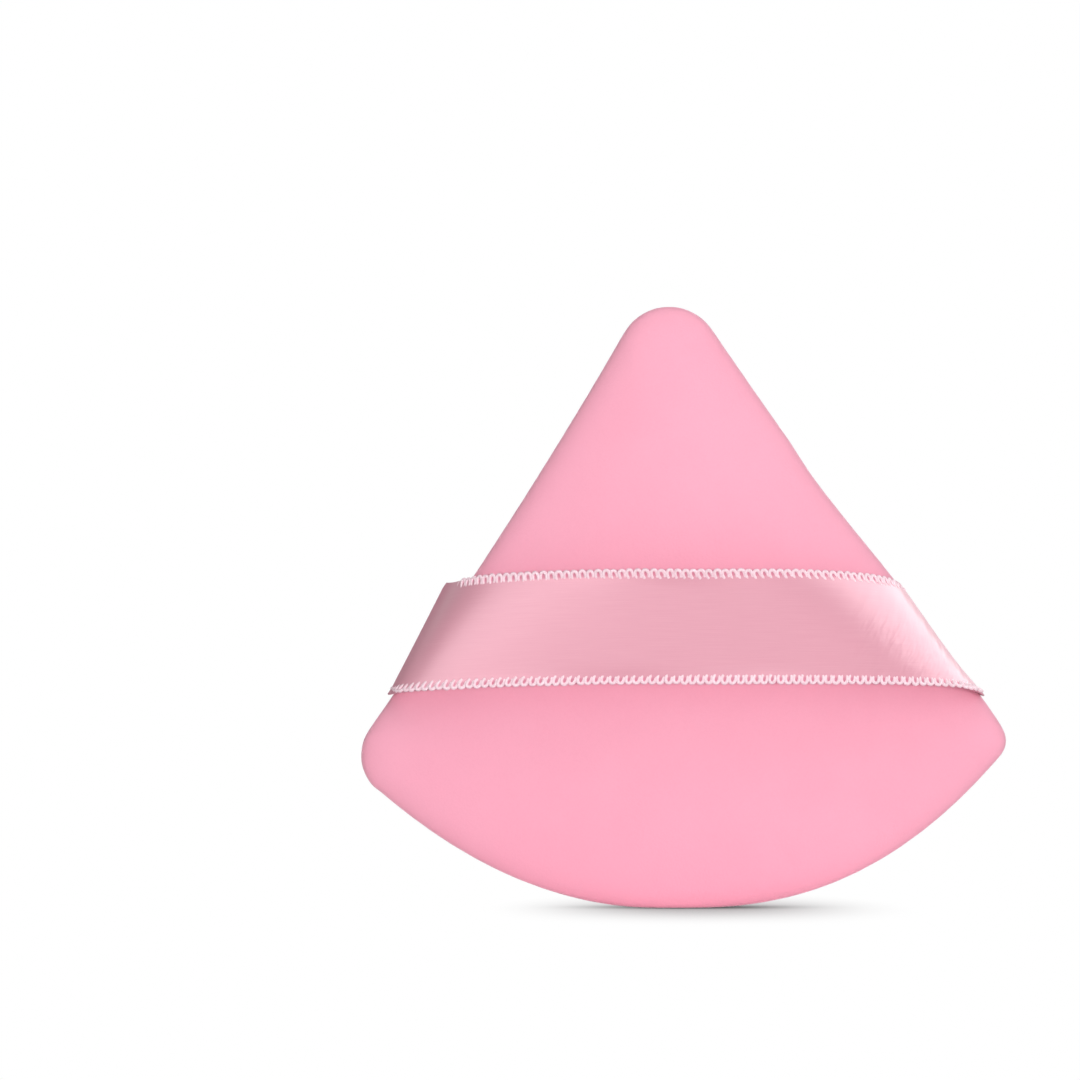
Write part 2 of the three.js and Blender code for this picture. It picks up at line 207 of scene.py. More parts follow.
foamLook = {
    "cream": (0.93, 0.80, 0.78),
    # shade: painted shade, deepest in the middle of each pore
    "shade": (0.80, 0.62, 0.62),
    "cell": 0.5,  # size of the foam's pores
    "cellRange": (0.45, 0.1),  # from the wall of a pore to its middle, in cells, where the painted shade deepens
    "cellDepth": 0.12,
    "cellBump": 0.6,
    "roughness": 0.9,
    "shine": 0.2,
}


def makeFoam():
    look = foamLook
    material, graph = newMaterial("soft_foam")
    cells = {"Vector": graph.coordinates("Object"), "Scale": 1 / (look["cell"] * mm)}
    pores = graph.add("ShaderNodeTexVoronoi", {}, cells)
    # painted shade, darker towards the middle of each pore
    depth = graph.between(*look["cellRange"], pores)
    closeMaterial(graph, {
        "Base Color": graph.mixColour(depth, opaque(look["cream"]), opaque(look["shade"])),
        "Normal": graph.bump(look["cellBump"], look["cellDepth"], pores),
        "Roughness": look["roughness"],
        "Specular IOR Level": look["shine"],
    })
    return material


satinLook = {
    "rose": (0.61, 0.255, 0.328),
    "lightRose": (0.63, 0.275, 0.348),
    "groundGapShadeRose": (0.60, 0.21, 0.29),  # the ground behind the loops of each edge, painted deeper as the shade in the gaps between them
    "groundBlur": 0.1,
    "warp": 0.07,  # spacing of the long floats
    "warpRun": 5.0,
    "warpDetail": 2.0,
    "warpRange": (0.3, 0.7),  # noise levels where they lighten
    "warpDepth": 0.003,
    "crease": 0.42,  # spacing of the fine creases at the right end
    "creaseRun": 2.4,
    "creaseDetail": 1.0,
    "creaseTurn": 52.0,  # degrees that bring the way they run upright
    "creaseReach": (25.0, 17.0, 10.0, 7.0),  # from the right end: they begin, are full, fade, are over
    "creaseRise": (9.0, 4.5),  # from the lower edge: they are faint, are full
    "creaseFaint": 0.12,
    "creaseDepth": 0.14,
    "worn": (12.0, 7.5),  # from the left end: the shine begins to dull, is dull
    "plainLeft": (21.0, 10.0),  # from each end: where the ground loses its painted gap shade and takes the ribbon's colour
    "plainRight": (12.0, 7.0),
    "bump": 0.8,
    "roughness": 0.37,  # the floats, the ground and the wear add to it
    "floatRoughness": 0.08,
    "groundRoughness": 0.4,
    "wornRoughness": 0.55,
    "shine": 0.7,
}


def makeSatin(length, width, ground):  # the ribbon's flat size and the width of its ground
    look = satinLook
    material, graph = newMaterial("rose_satin")
    flat = graph.scaled(graph.coordinates("UV"), (length, width, 0.0))
    split = graph.add("ShaderNodeSeparateXYZ", {}, {0: flat})
    along, across = split, split.other(1)

    def streaks(place, run, spacing, detail):
        stretched = graph.scaled(place, (1 / run, 1 / spacing, 1.0))
        return graph.add("ShaderNodeTexNoise", {}, {"Vector": stretched, "Scale": 1.0, "Detail": detail})

    floats = streaks(flat, look["warpRun"], look["warp"], look["warpDetail"])
    turned = graph.add("ShaderNodeVectorRotate", {"rotation_type": "Z_AXIS"}, {
        "Vector": flat,
        "Angle": math.radians(look["creaseTurn"]),
    })
    creases = streaks(turned, look["crease"], look["creaseRun"], look["creaseDetail"])
    begin, full, fade, over = (length - reach for reach in look["creaseReach"])
    nearEnd = graph.between(begin, full, along) * graph.between(over, fade, along)
    faint = look["creaseFaint"]
    strength = graph.between(*look["creaseRise"], across) * (1 - faint) + faint
    creases = creases * nearEnd * strength * look["creaseDepth"]
    dull = graph.between(*look["worn"], along)
    plain = graph.between(*look["plainLeft"], along)
    plain = plain + graph.between(*(length - reach for reach in look["plainRight"]), along)
    blur = look["groundBlur"]
    # the edge bands carry the ground's painted gap shade, faded out towards both ends
    edge = graph.between(ground + blur, ground - blur, across)
    edge = edge + graph.between(width - ground - blur, width - ground + blur, across)
    edge = edge * (1 - plain)

    lighter = graph.between(*look["warpRange"], floats)
    body = graph.mixColour(lighter, opaque(look["rose"]), opaque(look["lightRose"]))
    height = floats * (1 - plain) * look["warpDepth"] + creases
    roughness = look["roughness"] + floats * look["floatRoughness"] + edge * look["groundRoughness"]
    closeMaterial(graph, {
        "Base Color": graph.mixColour(edge, body, opaque(look["groundGapShadeRose"])),
        "Normal": graph.bump(look["bump"], 1.0, height),  # the height is in millimetres
        "Roughness": roughness + dull * look["wornRoughness"],
        "Specular IOR Level": look["shine"],
    })
    return material


yarnLook = {
    "detail": 3.0,
    "range": (0.35, 0.7),  # noise levels where the fibres darken
    "depth": 0.3,  # of the gaps between them, in twists
    "bump": 0.4,
    "roughness": (0.5, 0.2),  # the least, and what the fibres add
    "shine": 0.5,
    "sheen": 0.2,
}
yarnColours = {  # twist: size of the fibres
    "picot_yarn": {"light": (0.91, 0.71, 0.77), "dark": (0.84, 0.55, 0.63), "twist": 0.12},
    "sewing_thread": {"light": (0.91, 0.40, 0.51), "dark": (0.80, 0.30, 0.41), "twist": 0.1},
}


def makeYarn(name):
    look = {**yarnLook, **yarnColours[name]}
    material, graph = newMaterial(name)
    fibres = graph.noise(graph.coordinates("Object"), look["twist"], look["detail"])
    darker = graph.between(*look["range"], fibres)
    least, added = look["roughness"]
    closeMaterial(graph, {
        "Base Color": graph.mixColour(darker, opaque(look["light"]), opaque(look["dark"])),
        "Normal": graph.bump(look["bump"], look["twist"] * look["depth"], fibres),
        "Roughness": least + fibres * added,
        "Specular IOR Level": look["shine"],
        "Sheen Weight": look["sheen"],
    })
    return material


velour = makeVelour()
foam = makeFoam()
picotYarn = makeYarn("picot_yarn")
sewingThread = makeYarn("sewing_thread")
print("materials made")


# Outline of the pad, seen from the strap side: x to the right, z up

outlineSizes = {
    "apex": (-1.9, 70.1),  # where the sharp corners would meet before they are rounded
    "rightCorner": (35.65, 18.0),
    "leftCorner": (-36.4, 15.9),
    "apexRadius": 5.6,
    "rightRadius": 2.2,
    "leftRadius": 4.9,
    "rightHollow": 0.45,  # how far a side is drawn in at its middle
    "leftHollow": 0.74,
    "baseX": -1.6,  # lowest point of the base
    "baseBend": (2.11, 2.54),  # power of the base curve to the left and to the right of it
    "flatDepth": 0.1,  # how far the standing edge is pressed flat
    "swellHeights": (18.0, 21.0, 22.8, 25.0, 36.0, 42.0, 47.0, 51.0),
    "swellSizes": (0.0, 0.3, 0.4, 0.2, 0.45, 0.0, -0.25, 0.0),  # how much fuller the right edge is there
}


def unit(vector):
    vector = np.asarray(vector, float)
    return vector / np.linalg.norm(vector)


def units(rows):
    return rows / np.linalg.norm(rows, axis=-1, keepdims=True)


def smooth(low, high, value):  # 0 at low, 1 at high
    share = np.clip((value - low) / (high - low), 0, 1)
    return share * share * (3 - 2 * share)


def smoothAlong(places, values, place):  # a smooth curve from value to value, level at both ends
    places, values = np.array(places), np.array(values)
    slopes = np.gradient(values, places)
    slopes[[0, -1]] = 0
    k = np.clip(np.searchsorted(places, place) - 1, 0, len(places) - 2)
    span = places[k + 1] - places[k]
    share = np.clip((place - places[k]) / span, 0, 1)
    bend = slopes[k] * (1 - share) - slopes[k + 1] * share
    step = values[k] + (values[k + 1] - values[k]) * share * share * (3 - 2 * share)
    return step + span * share * (1 - share) * bend


def roundCorner(corner, back, onward, radius, steps=24):
    half = math.acos(back @ onward) / 2
    start = corner + back * radius / math.tan(half)
    end = corner + onward * radius / math.tan(half)
    centre = corner + unit(back + onward) * radius / math.sin(half)
    first = math.atan2(start[1] - centre[1], start[0] - centre[0])
    turn = (math.atan2(end[1] - centre[1], end[0] - centre[0]) - first) % (2 * math.pi)
    angles = first + turn * np.linspace(0, 1, steps)
    return start, end, centre + radius * np.c_[np.cos(angles), np.sin(angles)]


def sharpCorners(sizes):
    return (np.array(sizes[name]) for name in ("apex", "rightCorner", "leftCorner"))


def makeOutline(sizes, steps=60):
    apex, right, left = sharpCorners(sizes)
    floorZ = -sizes["flatDepth"]
    share = np.linspace(0, 1, steps)[:, None]

    def control(start, end, hollow):
        along = unit(end - start)
        return (start + end) / 2 + 2 * hollow * np.array([-along[1], along[0]])

    def side(start, bend, end):
        return (1 - share) ** 2 * start + 2 * share * (1 - share) * bend + share ** 2 * end

    def alongBase(corner, bend):
        return unit([sizes["baseX"] - corner[0], bend * (floorZ - corner[1])])

    bendLeft, bendRight = sizes["baseBend"]
    rightBend = control(right, apex, sizes["rightHollow"])
    leftBend = control(apex, left, sizes["leftHollow"])
    baseRight, baseLeft = alongBase(right, bendRight), alongBase(left, bendLeft)
    rightArc = roundCorner(right, baseRight, unit(rightBend - right), sizes["rightRadius"])
    topArc = roundCorner(apex, unit(rightBend - apex), unit(leftBend - apex), sizes["apexRadius"])
    leftArc = roundCorner(left, unit(leftBend - left), baseLeft, sizes["leftRadius"])
    x = np.linspace(leftArc[1][0], rightArc[0][0], 2 * steps)
    onLeft = x < sizes["baseX"]
    corner = np.where(onLeft[:, None], left, right)
    reach = np.abs((x - sizes["baseX"]) / (corner[:, 0] - sizes["baseX"]))
    base = np.c_[x, floorZ + (corner[:, 1] - floorZ) * reach ** np.where(onLeft, bendLeft, bendRight)]
    points = np.vstack([
        rightArc[2],
        side(rightArc[1], rightBend, topArc[0])[1:-1],
        topArc[2],
        side(topArc[1], leftBend, leftArc[0])[1:-1],
        leftArc[2],
        base[1:-1],
    ])
    swell = smoothAlong(sizes["swellHeights"], sizes["swellSizes"], points[:, 1])
    points[:, 0] += np.where(points[:, 0] > 0, swell, 0)
    return points


def findMiddle(sizes):  # middle and radius of the circle that touches both sides and the floor
    apex, right, left = sharpCorners(sizes)
    floorZ = -sizes["flatDepth"]
    right = apex + (right - apex) * (floorZ - apex[1]) / (right[1] - apex[1])
    left = apex + (left - apex) * (floorZ - apex[1]) / (left[1] - apex[1])
    weights = np.array([math.dist(right, left), math.dist(left, apex), math.dist(right, apex)])
    centre = weights @ np.array([apex, right, left]) / weights.sum()
    return centre, centre[1] - floorZ


def lengthsAlong(points):
    return np.concatenate([[0], np.cumsum(np.linalg.norm(np.diff(points, axis=0), axis=1))])


def resample(points, places):  # places are shares of the length
    run = lengthsAlong(points)
    return np.stack([np.interp(np.asarray(places) * run[-1], run, column) for column in points.T], -1)


outline = makeOutline(outlineSizes)
middle, inradius = findMiddle(outlineSizes)
rim = np.vstack([outline, outline[:1]])
rimLength = lengthsAlong(rim)[-1]
print("outline: rim", round(rimLength, 1), "mm, middle", np.round(middle, 2))


def rimReach(z, side):  # x of the outline at a height: side is 1 on the right and -1 on the left
    start, end = rim[:-1], rim[1:]
    crosses = (start[:, 1] - z) * (end[:, 1] - z) <= 0
    start, end = start[crosses], end[crosses]
    share = (z - start[:, 1]) / (end[:, 1] - start[:, 1])
    return side * np.max(side * (start[:, 0] + share * (end[:, 0] - start[:, 0])))


# Mesh helpers

def addObject(name, data):
    added = bpy.data.objects.new(name, data)
    scene.collection.objects.link(added)
    return added


def newMesh(name, points, edges, faces):  # points in millimetres from the seam plane
    mesh = bpy.data.meshes.new(name)
    placed = np.asarray(points, float) * mm + (0, seamY, 0)
    mesh.from_pydata(placed.tolist(), edges, faces)
    return mesh


def newPiece(name, points, faces, material=None):
    mesh = newMesh(name, points, [], faces)
    mesh.shade_smooth()
    piece = addObject(name, mesh)
    if material:
        mesh.materials.append(material)
    return piece


def turnOutwards(piece):
    form = bmesh.new()
    form.from_mesh(piece.data)
    bmesh.ops.recalc_face_normals(form, faces=form.faces)
    form.to_mesh(piece.data)
    form.free()


def applyModifiers(piece):  # keeps the evaluated shape as a plain mesh
    bpy.context.view_layer.update()
    graph = bpy.context.evaluated_depsgraph_get()
    made = bpy.data.meshes.new_from_object(piece.evaluated_get(graph))
    old = piece.data
    piece.modifiers.clear()
    piece.data = made
    made.name = piece.name
    bpy.data.meshes.remove(old)


# Sizes of the ribbon, which the pad's seam also makes room for

ribbonSizes = {
    "width": 10.7,  # between the roots of the picot loops
    "ground": 0.62,  # plain ground behind the loops, past their roots
    "thickness": 0.14,
    "height": 30.7,  # middle of the strap above the floor
    "fullnessLeft": (3.0, 3.0),  # power of the arch at its lower and upper edge: higher is squarer
    "fullnessRight": (3.8, 2.4),
    "dropLeft": (1.2, 0.85),  # how far its edges sink towards the slanted seams
    "dropRight": (1.2, 1.25),
    "dropBendLeft": (2.4, 2.6),  # power of that curve: higher keeps it level for longer
    "dropBendRight": (7.0, 5.0),
    "tuckLeft": (0.4, 0.65),  # how much further its corners are drawn down into the seams
    "tuckRight": (0.5, 0.4),
    "tuckBend": 24.0,
    "standoffLeft": (0.6, 2.4),  # from the edge of the pad at the lower and upper edge
    "standoffRight": (0.2, 0.2),
    "leanLeft": (0.3, 3.2),  # how far it leans in over the pad as it rises from the left seam
    "leanBend": 2,  # power of its growth from edge to edge
    "leanEnd": 0.2,
    "liftFull": 0.85,  # share of its rise from which it lifts as one
    "turn": 0.5,  # radius where it turns into the seam
    "tailDepth": 3.8,  # ribbon sewn into the seam
    "tailClearance": 0.03,  # between its faces and the covers there
    "columns": 420,
    "rows": 60,
}

tailGap = ribbonSizes["turn"]
mostDrop = max(*ribbonSizes["dropLeft"], *ribbonSizes["dropRight"])
mostTuck = max(*ribbonSizes["tuckLeft"], *ribbonSizes["tuckRight"])
tailReach = ribbonSizes["width"] / 2 + mostDrop + mostTuck + ribbonSizes["tailDepth"]
strapLow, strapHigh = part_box("ribbon_strap")
strapRise = (seamY - strapLow.y) / mm - ribbonSizes["thickness"] / 2  # outer face as in the frame


# Pad: two covers and the foam between them, each a square of cells carried round the outline

padSizes = {
    "thickness": 13.0,
    "fullness": 3.0,  # power of the crown: higher is flatter on top with rounder edges
    "crownRounding": 0.6,  # how much the corners melt away towards the crown
    "wall": 1.0,
    "seamPull": 0.9,  # how far the seam sinks below the rounded edge
    "edgeRoll": 1.2,  # height of that edge on each cover
    "seamGap": 0.04,  # the stitches draw the two edges together
    "allowance": 3.5,
    "coreGap": 0.3,
    "cells": 32,  # rings of cells from the middle to the rim
    "ringBend": 1.6,  # power that crowds them towards the rim
    "rollSteps": 6,
    "finer": 1,  # levels of subdivision
    "pucker": 0.03,  # pull of each seam stitch on the edge
    "puckerUneven": (0.4, 1.0),
    "puckerSeed": 11,
    "puckerSpacing": 2.7,
    "puckerReach": 1.2,
    "slack": 0.45,  # how much lower the crown starts before it is filled
    "held": (0.7, 0.92),  # shares of the way to the rim where it stops moving
    "swell": 0.7,  # most that filling may move a point
    "floorSoftness": 0.1,  # rounding of the standing edge
}


def squareGrid(cells):  # ring share and place round the rim of each point of the square
    line = np.arange(-cells, cells + 1)
    i, j = (axis.ravel() for axis in np.meshgrid(line, line, indexing="ij"))
    ring = np.maximum(np.abs(i), np.abs(j))
    steps = np.select(
        [i == ring, j == ring, i == -ring],
        [ring + j, 3 * ring - i, 5 * ring - j],
        7 * ring + i,
    )
    return ring / cells, steps / (8 * np.maximum(ring, 1)) % 1


def gridFaces(cells):
    rows = 2 * cells + 1
    return [
        (i * rows + j, (i + 1) * rows + j, (i + 1) * rows + j + 1, i * rows + j + 1)
        for i in range(rows - 1)
        for j in range(rows - 1)
    ]


ringShare, ringPlace = squareGrid(padSizes["cells"])
rimOrder = [k for _, k in sorted((ringPlace[k], k) for k in np.flatnonzero(ringShare == 1))]
rimPlace = ringPlace[rimOrder]


def outlineAt(places):
    return resample(rim, places)


def shrink(points, inset):  # inset is measured square to the sides
    scale = 1 - np.broadcast_to(inset, len(points)) / inradius
    return middle + (points - middle) * scale[:, None]


def crownedCap(inset, foot, crown, facing, pull=0.0, widest=1.0):
    share = widest * (1 - (1 - ringShare) ** padSizes["ringBend"])
    arm = shrink(outlineAt(ringPlace), inset) - middle
    reach = np.linalg.norm(arm, axis=1)
    rounding = padSizes["crownRounding"] * (1 - share) * (1 - inradius / np.maximum(reach, inradius))
    nearRim = np.exp(-((1 - share) * inradius / padSizes["puckerReach"]) ** 2)
    arm = arm * (share * (1 - rounding) * (1 - pull * nearRim / inradius))[:, None]
    height = foot + (crown - foot) * np.sqrt(1 - share ** padSizes["fullness"])
    place = middle + arm
    return np.c_[place[:, 0], -facing * height, place[:, 1]]


def rimStrip(inset, height, facing):
    place = shrink(outlineAt(rimPlace), inset)
    return np.c_[place[:, 0], -facing * np.broadcast_to(height, len(place)), place[:, 1]]


def joinCaps(firstCap, strips, secondCap=None):  # a cap, bands round the rim and another cap
    cells = padSizes["cells"]
    around = len(rimOrder)
    loops = [list(rimOrder)]
    start = len(firstCap)
    for _ in strips:
        loops.append(list(range(start, start + around)))
        start += around
    points = [firstCap, *strips]
    faces = gridFaces(cells)
    if secondCap is not None:
        points.append(secondCap)
        faces += [tuple(start + k for k in reversed(face)) for face in gridFaces(cells)]
        loops.append([start + k for k in rimOrder])
    for here, there in zip(loops, loops[1:]):
        faces += [(here[k - 1], here[k], there[k], there[k - 1]) for k in range(around)]
    return np.vstack(points), faces


def pressAtFloor(points):  # the standing edge is pressed flat
    z = points[:, 2]
    softness = padSizes["floorSoftness"]
    points[:, 2] = (z + np.sqrt(z * z + softness * softness)) / 2


def seamHalfGap(z):  # wider where the ribbon's ends pass between the covers
    away = np.abs(z - ribbonSizes["height"]) - tailReach
    share = smooth(0, ribbonSizes["tailDepth"], away)
    atTail = ribbonSizes["thickness"] / 2 + ribbonSizes["tailClearance"]
    return atTail + (padSizes["seamGap"] / 2 - atTail) * share


def stitchPull(places):  # most at each seam stitch, nothing midway between two
    sizes = padSizes
    stitches = round(rimLength / sizes["puckerSpacing"])
    uneven = np.random.default_rng(sizes["puckerSeed"]).uniform(*sizes["puckerUneven"], stitches)
    step = np.asarray(places) * stitches
    strength = uneven[np.round(step).astype(int) % stitches]
    return sizes["pucker"] * strength * (0.5 + 0.5 * np.cos(2 * math.pi * step))


clothSettings = {
    "scale": 10 * mm,  # ten times life size, where cloth settles well
    "steps": 20,
    "quality": 6,
    "pressure": 4.0,
    "stiffness": 40.0,
    "shear": 20.0,
    "bending": 2.0,
}


def fillOut(name, points, faces, held, limit):  # the cover swells as its foam fills it
    choice = clothSettings
    cloth = newPiece(name, points, faces)
    cloth.data.vertices.foreach_set("co", (points * choice["scale"]).ravel())
    group = cloth.vertex_groups.new(name="held")
    for k, weight in enumerate(held):
        group.add([k], float(weight), "REPLACE")
    modifier = cloth.modifiers.new("fill", "CLOTH")
    settings = modifier.settings
    settings.quality = choice["quality"]
    settings.tension_stiffness = choice["stiffness"]
    settings.compression_stiffness = choice["stiffness"]
    settings.shear_stiffness = choice["shear"]
    settings.bending_stiffness = choice["bending"]
    settings.vertex_group_mass = group.name
    settings.use_pressure = True
    settings.uniform_pressure_force = choice["pressure"]
    settings.effector_weights.gravity = 0
    modifier.point_cache.frame_end = choice["steps"]
    for step in range(1, choice["steps"] + 1):
        scene.frame_set(step)
    graph = bpy.context.evaluated_depsgraph_get()
    swollen = np.zeros(points.size)
    cloth.evaluated_get(graph).data.vertices.foreach_get("co", swollen)
    scene.frame_set(1)
    mesh = cloth.data
    bpy.data.objects.remove(cloth)
    bpy.data.meshes.remove(mesh)
    move = swollen.reshape(-1, 3) / choice["scale"] - points
    size = np.linalg.norm(move, axis=1)
    print(name, "swelled by up to", round(float(size.max()), 2), "mm")
    return points + move * np.minimum(1, limit / np.maximum(size, limit))[:, None]


def makeCover(name, facing, node):
    sizes = padSizes
    crown = sizes["thickness"] / 2
    roll = sizes["edgeRoll"]
    gap = seamHalfGap(outlineAt(rimPlace)[:, 1])
    pull = stitchPull(rimPlace)
    outer = crownedCap(0, roll, crown - sizes["slack"], facing, stitchPull(ringPlace))
    strips = []
    for share in np.linspace(0, 1, sizes["rollSteps"] + 1)[1:]:
        height = roll + (gap - roll) * share
        strips.append(rimStrip(sizes["seamPull"] * (1 - height / roll) ** 2 + pull, height, facing))
    points, faces = joinCaps(outer, strips)
    if facing < 0:
        faces = [face[::-1] for face in faces]  # filling presses outwards
    held = np.concatenate([smooth(*sizes["held"], ringShare), np.ones(len(points) - len(outer))])
    outer = fillOut(name + "_cloth", points, faces, held, sizes["swell"])[:len(outer)]
    raw = sizes["seamPull"] + sizes["allowance"]
    strips += [rimStrip(raw, gap, facing), rimStrip(raw, gap + sizes["wall"], facing)]
    lining = seamHalfGap(outlineAt(ringPlace)[:, 1]) + sizes["wall"]
    inner = crownedCap(sizes["wall"], lining, crown - sizes["wall"], facing)
    points, faces = joinCaps(outer, strips, inner)
    pressAtFloor(points)
    cover = newPiece(name, points, faces, velour)
    turnOutwards(cover)
    finer = cover.modifiers.new("finer", "SUBSURF")
    finer.levels = sizes["finer"]
    finer.render_levels = sizes["finer"]
    applyModifiers(cover)
    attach(cover, "pad")
    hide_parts(node)


coreSizes = {"aroundThread": 0.8}  # room for the raw edges and their thread


def makeCore():
    sizes = padSizes
    inset = sizes["wall"] + sizes["coreGap"]
    foot = sizes["seamGap"] / 2 + sizes["wall"]
    crown = sizes["thickness"] / 2 - inset
    grooveHalf = tailGap + sizes["wall"] + coreSizes["aroundThread"]
    groove = sizes["seamPull"] + sizes["allowance"] + coreSizes["aroundThread"]
    widest = (1 - ((grooveHalf - foot) / (crown - foot)) ** 2) ** (1 / sizes["fullness"])
    caps = [crownedCap(inset, foot, crown, facing, widest=widest) for facing in (1, -1)]
    strips = [rimStrip(groove, grooveHalf, facing) for facing in (1, -1)]
    points, faces = joinCaps(caps[0], strips, caps[1])
    core = newPiece("foam_filling", points, faces, foam)
    turnOutwards(core)
    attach(core, "pad")
    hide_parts("foam_core")


makeCover("velour_cover_strap_side", 1, "rear_cover")
makeCover("velour_cover_skin_side", -1, "front_cover")
makeCore()
print("pad made")


# Ribbon: one length from the end of its left tail, over the strap's arch, to the end of its right tail

def atAcross(pair, across, bend=1.0):  # from the value at the lower edge to that at the upper edge
    return pair[0] + (pair[1] - pair[0]) * np.clip(across, 0, 1) ** bend


def ribbonFoot(across, side):  # where the strap meets the seam: x, z and distance from the pad
    sizes = ribbonSizes
    end = "Left" if side < 0 else "Right"
    drop = atAcross(sizes["drop" + end], across) + atAcross(sizes["tuck" + end], across)
    z = sizes["height"] + (across - 0.5) * sizes["width"] - drop
    standoff = atAcross(sizes["standoff" + end], across)
    return rimReach(z, side) + side * standoff, z, standoff


def ribbonArch(across, steps=1600):
    sizes = ribbonSizes
    left, right = (ribbonFoot(across, side)[0] for side in (-1, 1))
    angle = math.pi * smooth(0, 1, np.linspace(0, 1, steps))  # closer together at the feet
    onLeft = angle < math.pi / 2

    def eachSide(name):
        return np.where(onLeft, *(atAcross(sizes[name + end], across) for end in ("Left", "Right")))

    power = 2 / eachSide("fullness")
    rise = np.clip(np.sin(angle), 0, 1) ** power
    reach = np.sign(np.cos(angle)) * np.abs(np.cos(angle)) ** power
    towardsLeft = smooth(-sizes["leanEnd"], 1 - sizes["leanEnd"], reach)
    lean = atAcross(sizes["leanLeft"], across, sizes["leanBend"]) * rise * towardsLeft
    x = (left + right) / 2 - reach * (right - left) / 2 + lean
    y = -(tailGap + (strapRise - tailGap) * rise)
    drop = eachSide("drop") * np.abs(reach) ** eachSide("dropBend")
    drop += eachSide("tuck") * np.abs(reach) ** sizes["tuckBend"]
    return np.c_[x, y, sizes["height"] + (across - 0.5) * sizes["width"] - drop]


def ribbonTail(across, side, steps=24):  # from its end inside the seam to the strap's foot
    foot, z, standoff = ribbonFoot(across, side)
    angle = np.linspace(0, math.pi / 2, steps)
    x = foot - side * tailGap * (1 - np.sin(angle))
    y = -tailGap * (1 - np.cos(angle))
    bend = np.c_[x, y, np.full(len(angle), z)]
    end = (foot - side * (standoff + ribbonSizes["tailDepth"]), 0.0, z)
    return np.vstack([end, bend[:-1]])


def ribbonPath(across):
    return np.vstack([ribbonTail(across, -1), ribbonArch(across), ribbonTail(across, 1)[::-1]])


creaseSizes = {
    "wave": 0.10,  # slow unevenness of the ribbon
    "waveRun": 27.0,
    "waveTilt": 46.0,
    "pull": 0.01,  # creases drawn by the right seam
    "pullSpacing": 1.15,
    "pullTurn": 50.0,
    "pullReach": (24.0, 9.0),  # from that seam: where they begin and are full
    "pullEnd": (1.0, 4.0),  # and where they are over again
    "pullSecond": (0.6, 0.57, 1.3, 0.2),  # a second set: its share, rate, shift and drift
    "edge": 2.0,  # distance from each edge in which they die out
}


def creaseHeight(along, across, length, width):  # millimetres from the left end and from the lower edge
    sizes = creaseSizes
    inside = smooth(0, sizes["edge"], across) * smooth(width, width - sizes["edge"], across)
    slow = np.sin(2 * math.pi * (along / sizes["waveRun"] + across / sizes["waveTilt"]))
    slow = slow * np.sin(math.pi * along / length)
    turn = math.radians(sizes["pullTurn"])
    step = (along * math.cos(turn) - across * math.sin(turn)) / sizes["pullSpacing"]
    begin, full = sizes["pullReach"]
    fromEnd = length - along - ribbonSizes["tailDepth"]
    near = smooth(begin, full, fromEnd) * smooth(*sizes["pullEnd"], fromEnd)
    share, rate, shift, drift = sizes["pullSecond"]
    second = np.sin(2 * math.pi * step * rate + shift + along * drift)
    drawn = near * (np.sin(2 * math.pi * step) + share * second)
    return inside * (sizes["wave"] * slow + sizes["pull"] * drawn)


def followStrap(piece):  # bakes its placement into its mesh; where the seams hold its ends and where the strap lifts it are worked out but not used
    start = (0, seamY - tailGap * mm, strapHigh.z)
    end = (0, seamY - strapRise * ribbonSizes["liftFull"] * mm, strapHigh.z)
    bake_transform(piece)


def makeRibbon():
    sizes = ribbonSizes
    edge = sizes["ground"] / sizes["width"]
    acrossShare = np.linspace(-edge, 1 + edge, sizes["rows"])
    alongShare = np.linspace(0, 1, sizes["columns"])
    grid = np.array([resample(ribbonPath(across), alongShare) for across in acrossShare])
    length = np.mean([lengthsAlong(row)[-1] for row in grid])
    width = sizes["width"] + 2 * sizes["ground"]
    normal = units(np.cross(np.gradient(grid, axis=1), np.gradient(grid, axis=0)))
    u, v = np.meshgrid(alongShare, np.linspace(0, 1, sizes["rows"]))
    grid = grid + normal * creaseHeight(u * length, v * width, length, width)[:, :, None]
    columns = sizes["columns"]
    faces = [
        (i * columns + j, i * columns + j + 1, (i + 1) * columns + j + 1, (i + 1) * columns + j)
        for i in range(sizes["rows"] - 1)
        for j in range(columns - 1)
    ]
    satin = makeSatin(length, width, sizes["ground"])
    ribbon = newPiece("satin_ribbon", grid.reshape(-1, 3), faces, satin)
    corner = np.array([loop.vertex_index for loop in ribbon.data.loops])
    flat = np.stack([u.ravel()[corner], v.ravel()[corner]], -1)
    ribbon.data.uv_layers.new(name="flat").data.foreach_set("uv", flat.ravel())
    wall = ribbon.modifiers.new("thickness", "SOLIDIFY")
    wall.thickness = sizes["thickness"] * mm
    wall.offset = 0
    applyModifiers(ribbon)
    followStrap(ribbon)
    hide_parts("ribbon_strap", "ribbon_tail_left", "ribbon_tail_right")
    return ribbon, width * mm, length * mm


ribbon, ribbonWidth, ribbonLength = makeRibbon()
print("ribbon made:", round(ribbonWidth / mm, 1), "by", round(ribbonLength / mm, 1), "mm flat")


# Geometry Nodes tools

def newTool(name, sizes):  # a tree with one named input for each size
    tree = bpy.data.node_groups.new(name, "GeometryNodeTree")
    graph = Graph(tree)
    tree.interface.new_socket("Geometry", in_out="INPUT", socket_type="NodeSocketGeometry")
    tree.interface.new_socket("Geometry", in_out="OUTPUT", socket_type="NodeSocketGeometry")
    for size in sizes:
        tree.interface.new_socket(size, in_out="INPUT", socket_type="NodeSocketFloat")
    entry = graph.add("NodeGroupInput")
    return tree, graph, [entry.other(k) for k in range(len(sizes) + 1)]


def tubeAlong(graph, curve, sides, diameter):
    circle = {"Resolution": sides, "Radius": diameter * 0.5}
    ring = graph.add("GeometryNodeCurvePrimitiveCircle", {}, circle)
    return graph.add("GeometryNodeCurveToMesh", {}, {0: curve, 1: ring, "Fill Caps": True})


